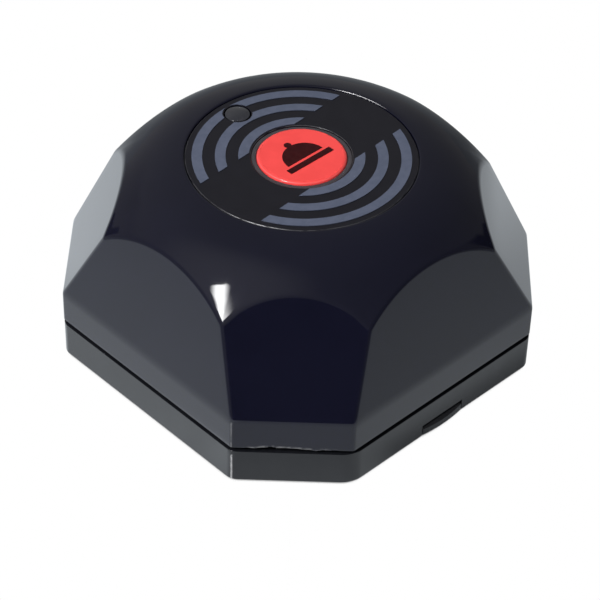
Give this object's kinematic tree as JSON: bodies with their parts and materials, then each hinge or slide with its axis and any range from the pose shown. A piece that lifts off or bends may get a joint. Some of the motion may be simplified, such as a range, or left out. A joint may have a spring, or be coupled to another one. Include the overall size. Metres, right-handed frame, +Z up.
{
  "type": "wireless nurse call button",
  "caption": "Octagonal gloss-black table call button: domed lid with a round wave-printed overlay, red push button, indicator light, and a battery door in the base.",
  "frame": {"origin": "on the table, under the middle of the octagonal casing", "axes": "+Z up through the push button; +Y toward the indicator light; -Y toward the battery door's finger tab; +X along the mark on the button"},
  "size_m": [0.07, 0.0704, 0.0369],
  "materials": {
    "cover_gloss": "high-gloss black ABS with a blue tinge",
    "base_black": "satin black ABS",
    "overlay_film": "black printed film, satin",
    "wave_ink": "blue-grey screen ink",
    "ring_grey": "dark grey moulded ring",
    "button_red": "bright red moulded cap",
    "mark_ink": "dark maroon pad print",
    "led_smoke": "smoked epoxy",
    "pin_tin": "tinned wire and pins",
    "spacer_nylon": "natural nylon",
    "board_green": "green solder mask on glass-epoxy",
    "part_black": "moulded component body",
    "can_metal": "plated can",
    "chip_ceramic": "ceramic chip parts",
    "cell_label": "plain blue sleeve",
    "contact_steel": "nickel-plated spring steel",
    "foam_grey": "closed-cell foam",
    "screw_steel": "zinc-plated screw",
    "foot_rubber": "black rubber"
  },
  "bodies": {
    "casing": {"base_tray": "base_black", "top_cover": "cover_gloss", "graphic_overlay": "overlay_film", "wave_print": "wave_ink", "button_bezel": "ring_grey", "indicator_led": "led_smoke", "led_leads": "pin_tin", "led_spacer": "spacer_nylon", "main_board": "board_green", "switch_body": "part_black", "switch_plate": "contact_steel", "switch_legs": "pin_tin", "encoder_chip": "part_black", "chip_pins": "pin_tin", "resonator_can": "can_metal", "chip_parts": "chip_ceramic", "battery_can": "cell_label", "battery_nub": "contact_steel", "contact_plate": "contact_steel", "contact_spring": "contact_steel", "case_screws": "screw_steel", "board_screws": "screw_steel", "rubber_feet": "foot_rubber"},
    "button": {"call_button": "button_red", "button_mark": "mark_ink"},
    "plunger": {"switch_plunger": "part_black"},
    "door": {"battery_door": "base_black", "door_pad": "foam_grey"}
  },
  "joints": [
    {"name": "button_press", "type": "slide", "parent": "casing", "child": "button", "axis": [0, 0, -1], "range_m": [0, 0.0006], "stiffness_N_per_m": 4000},
    {"name": "plunger_press", "type": "slide", "parent": "casing", "child": "plunger", "axis": [0, 0, -1], "range_m": [0, 0.0007]},
    {"name": "door_hinge", "type": "hinge", "parent": "casing", "child": "door", "pos_m": [0, -0.01613, 0.00108], "axis": [1, 0, 0], "range_deg": [0, 40]}
  ],
  "couplings": [
    {"joint": "plunger_press", "follows": "button_press", "ratio": 1}
  ]
}
